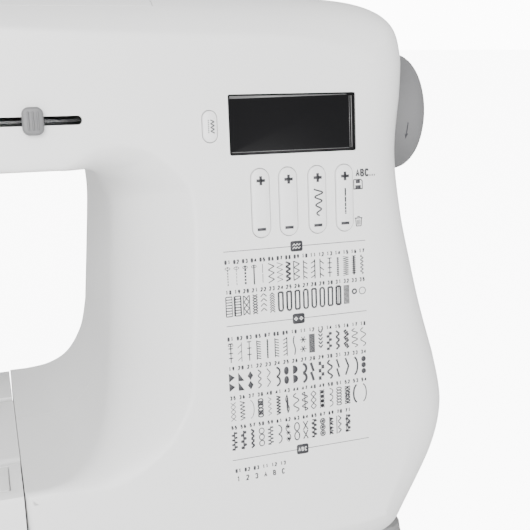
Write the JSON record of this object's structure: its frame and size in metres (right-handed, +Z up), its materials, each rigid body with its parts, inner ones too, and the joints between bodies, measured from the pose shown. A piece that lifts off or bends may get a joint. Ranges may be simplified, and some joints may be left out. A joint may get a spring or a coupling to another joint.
{
  "type": "sewing machine",
  "caption": "Free-arm sewing machine with a display and stitch chart on its column, a handwheel, a sliding accessory tray and a working needle, hook and belt drive.",
  "frame": {"origin": "on the table under the middle of the machine's box", "axes": "+X from the needle to the handwheel, +Y from the user to the back, +Z up"},
  "size_m": [0.384, 0.1652, 0.3175],
  "materials": {
    "white_shell": "smooth satin",
    "dark_base": "matte",
    "black_rubber": "matte",
    "black_plastic": "satin",
    "grey_plastic": "satin",
    "white_keys": "smooth satin",
    "display_window": "gloss",
    "circuit_board": "matte",
    "clear_plastic": "clear gloss",
    "cast_alloy": "cast",
    "polished_steel": "polished"
  },
  "bodies": {
    "machine": {"front_cover": "white_shell", "rear_cover": "white_shell", "base_tray": "dark_base", "rubber_foot_1": "black_rubber", "rubber_foot_2": "black_rubber", "rubber_foot_3": "black_rubber", "rubber_foot_4": "black_rubber", "free_arm_cover": "white_shell", "needle_plate": "polished_steel", "arm_frame": "cast_alloy", "display_lens": "display_window", "control_board": "circuit_board", "drive_motor": "dark_base", "drive_belt": "black_rubber", "timing_belt": "black_rubber", "bobbin_holder": "black_plastic", "lamp_lens": "clear_plastic", "winder_stopper": "white_keys", "spool_pin": "white_keys", "socket_panel": "dark_base"},
    "main_drive": {"main_shaft": "polished_steel", "handwheel": "grey_plastic", "shaft_pulley": "dark_base", "crank_disc": "polished_steel"},
    "motor_rotor": {"motor_pulley": "polished_steel"},
    "lower_drive": {"lower_shaft": "polished_steel"},
    "hook": {"rotary_hook": "polished_steel"},
    "bobbin": {"bobbin": "clear_plastic"},
    "needle_carrier": {"needle_bar": "polished_steel", "needle_clamp": "polished_steel", "needle": "polished_steel"},
    "take_up": {"take_up_lever": "polished_steel"},
    "presser": {"presser_bar": "polished_steel"},
    "presser_foot": {"presser_foot": "polished_steel"},
    "presser_lifter": {"presser_lifter": "white_keys"},
    "threader": {"threader_lever": "white_keys"},
    "buttonhole": {"buttonhole_lever": "white_keys"},
    "feed_dog": {"feed_dog": "polished_steel"},
    "feed_drop": {"feed_drop_lever": "white_keys"},
    "bobbin_cover": {"bobbin_cover": "clear_plastic"},
    "accessory_tray": {"accessory_tray": "white_shell"},
    "tray_lid": {"tray_lid": "white_shell"},
    "face_cover": {"face_cover": "white_shell"},
    "top_lid": {"top_lid": "white_shell"},
    "carry_handle": {"carry_handle": "white_shell"},
    "tension_dial": {"tension_dial": "grey_plastic"},
    "speed_slider": {"speed_slider": "grey_plastic"},
    "start_button": {"start_button": "white_keys"},
    "reverse_button": {"reverse_button": "white_keys"},
    "lock_button": {"lock_button": "white_keys"},
    "needle_button": {"needle_button": "white_keys"},
    "stitch_mode_button": {"stitch_mode_button": "white_keys"},
    "rocker_1": {"rocker_1": "white_keys"},
    "rocker_2": {"rocker_2": "white_keys"},
    "rocker_3": {"rocker_3": "white_keys"},
    "rocker_4": {"rocker_4": "white_keys"},
    "winder_plate": {"winder_plate": "white_keys"},
    "winder_spindle": {"winder_spindle": "white_keys"},
    "spool_cap": {"spool_cap": "white_keys"},
    "power_switch": {"power_switch": "black_plastic"}
  },
  "joints": [
    {"name": "main_shaft_spin", "type": "hinge", "parent": "machine", "child": "main_drive", "pos_m": [0.15, 0.006, 0.241], "axis": [1, 0, 0], "continuous": true},
    {"name": "motor_spin", "type": "hinge", "parent": "machine", "child": "motor_rotor", "pos_m": [0.14, 0.047, 0.1006], "axis": [1, 0, 0], "continuous": true},
    {"name": "lower_shaft_spin", "type": "hinge", "parent": "machine", "child": "lower_drive", "pos_m": [0, 0.006, 0.042], "axis": [1, 0, 0], "continuous": true},
    {"name": "hook_spin", "type": "hinge", "parent": "machine", "child": "hook", "pos_m": [-0.132, -0.0205, 0.06], "axis": [0, 0, 1], "continuous": true},
    {"name": "bobbin_spin", "type": "hinge", "parent": "machine", "child": "bobbin", "pos_m": [-0.132, -0.0205, 0.065], "axis": [0, 0, 1], "continuous": true},
    {"name": "needle_bar_stroke", "type": "slide", "parent": "machine", "child": "needle_carrier", "axis": [0, 0, -1], "range_m": [0, 0.03]},
    {"name": "take_up_swing", "type": "hinge", "parent": "machine", "child": "take_up", "pos_m": [-0.124, -0.02, 0.246], "axis": [-1, 0, 0], "range_deg": [-45, 15]},
    {"name": "lifter_swing", "type": "hinge", "parent": "machine", "child": "presser_lifter", "pos_m": [-0.116, 0.03, 0.1426], "axis": [0, -1, 0], "range_deg": [-45, 0]},
    {"name": "presser_bar_slide", "type": "slide", "parent": "machine", "child": "presser", "axis": [0, 0, 1], "range_m": [-0.0046, 0]},
    {"name": "presser_foot_tilt", "type": "hinge", "parent": "presser", "child": "presser_foot", "pos_m": [-0.132, 0.004, 0.0926], "axis": [1, 0, 0], "range_deg": [-8, 3]},
    {"name": "threader_slide", "type": "slide", "parent": "machine", "child": "threader", "axis": [0, 0, -1], "range_m": [0, 0.03], "stiffness_N_per_m": 60, "springref_m": -0.004},
    {"name": "buttonhole_slide", "type": "slide", "parent": "machine", "child": "buttonhole", "axis": [0, 0, -1], "range_m": [0, 0.028]},
    {"name": "feed_dog_travel", "type": "slide", "parent": "machine", "child": "feed_dog", "axis": [0, 1, 0], "range_m": [-0.0025, 0.0025]},
    {"name": "feed_drop_slide", "type": "slide", "parent": "machine", "child": "feed_drop", "axis": [1, 0, 0], "range_m": [-0.0075, 0.0075]},
    {"name": "bobbin_cover_slide", "type": "slide", "parent": "machine", "child": "bobbin_cover", "axis": [0, -1, 0], "range_m": [0, 0.003]},
    {"name": "tray_slide", "type": "slide", "parent": "machine", "child": "accessory_tray", "axis": [-1, 0, 0], "range_m": [0, 0.19]},
    {"name": "tray_lid_hinge", "type": "hinge", "parent": "accessory_tray", "child": "tray_lid", "pos_m": [-0.104, -0.07, 0.0806], "axis": [1, 0, 0], "range_deg": [0, 100]},
    {"name": "face_cover_hinge", "type": "hinge", "parent": "machine", "child": "face_cover", "pos_m": [-0.192, 0.0686, 0.22], "axis": [0, 0, -1], "range_deg": [0, 90]},
    {"name": "top_lid_hinge", "type": "hinge", "parent": "machine", "child": "top_lid", "pos_m": [-0.057, 0.03, 0.303], "axis": [-1, 0, 0], "range_deg": [0, 95]},
    {"name": "handle_swing", "type": "hinge", "parent": "machine", "child": "carry_handle", "pos_m": [-0.009, 0.037, 0.3075], "axis": [1, 0, 0], "range_deg": [0, 90]},
    {"name": "tension_dial_turn", "type": "hinge", "parent": "machine", "child": "tension_dial", "pos_m": [-0.096, -0.04702, 0.271], "axis": [1, 0, 0], "range_deg": [-120, 120]},
    {"name": "speed_slider_travel", "type": "slide", "parent": "machine", "child": "speed_slider", "axis": [1, 0, 0], "range_m": [-0.016, 0.016]},
    {"name": "start_button_press", "type": "slide", "parent": "machine", "child": "start_button", "axis": [0, 0.9938, -0.1115], "range_m": [0, 0.0012], "stiffness_N_per_m": 500, "springref_m": -0.0008},
    {"name": "reverse_button_press", "type": "slide", "parent": "machine", "child": "reverse_button", "axis": [0, 0.9938, -0.1115], "range_m": [0, 0.0012], "stiffness_N_per_m": 500, "springref_m": -0.0008},
    {"name": "lock_button_press", "type": "slide", "parent": "machine", "child": "lock_button", "axis": [0, 0.9938, -0.1115], "range_m": [0, 0.0012], "stiffness_N_per_m": 500, "springref_m": -0.0008},
    {"name": "needle_button_press", "type": "slide", "parent": "machine", "child": "needle_button", "axis": [0, 0.9938, -0.1115], "range_m": [0, 0.0012], "stiffness_N_per_m": 500, "springref_m": -0.0008},
    {"name": "stitch_mode_button_press", "type": "slide", "parent": "machine", "child": "stitch_mode_button", "axis": [0, 0.9938, -0.1115], "range_m": [0, 0.0012], "stiffness_N_per_m": 500, "springref_m": -0.0008},
    {"name": "rocker_1_tilt", "type": "hinge", "parent": "machine", "child": "rocker_1", "pos_m": [0.0813, -0.05876, 0.20524], "axis": [1, 0, 0], "range_deg": [-3, 3], "stiffness_Nm_per_rad": 0.6},
    {"name": "rocker_2_tilt", "type": "hinge", "parent": "machine", "child": "rocker_2", "pos_m": [0.0954, -0.05876, 0.20524], "axis": [1, 0, 0], "range_deg": [-3, 3], "stiffness_Nm_per_rad": 0.6},
    {"name": "rocker_3_tilt", "type": "hinge", "parent": "machine", "child": "rocker_3", "pos_m": [0.1105, -0.05876, 0.20524], "axis": [1, 0, 0], "range_deg": [-3, 3], "stiffness_Nm_per_rad": 0.6},
    {"name": "rocker_4_tilt", "type": "hinge", "parent": "machine", "child": "rocker_4", "pos_m": [0.125, -0.05876, 0.20524], "axis": [1, 0, 0], "range_deg": [-3, 3], "stiffness_Nm_per_rad": 0.6},
    {"name": "winder_shift", "type": "slide", "parent": "machine", "child": "winder_plate", "axis": [1, 0, 0], "range_m": [0, 0.005]},
    {"name": "winder_spin", "type": "hinge", "parent": "winder_plate", "child": "winder_spindle", "pos_m": [0.116, -0.002, 0.303], "axis": [0, 0, 1], "continuous": true},
    {"name": "spool_cap_slide", "type": "slide", "parent": "machine", "child": "spool_cap", "axis": [-1, 0, 0], "range_m": [-0.03, 0.02]},
    {"name": "power_switch_tilt", "type": "hinge", "parent": "machine", "child": "power_switch", "pos_m": [0.1825, 0.041, 0.073], "axis": [0, 0, 1], "range_deg": [-3, 3]}
  ],
  "couplings": [
    {"joint": "motor_spin", "follows": "main_shaft_spin", "ratio": 3.5},
    {"joint": "lower_shaft_spin", "follows": "main_shaft_spin", "ratio": 1},
    {"joint": "hook_spin", "follows": "main_shaft_spin", "ratio": 2},
    {"joint": "lifter_swing", "follows": "presser_bar_slide", "rad_per_m": 170.7}
  ]
}
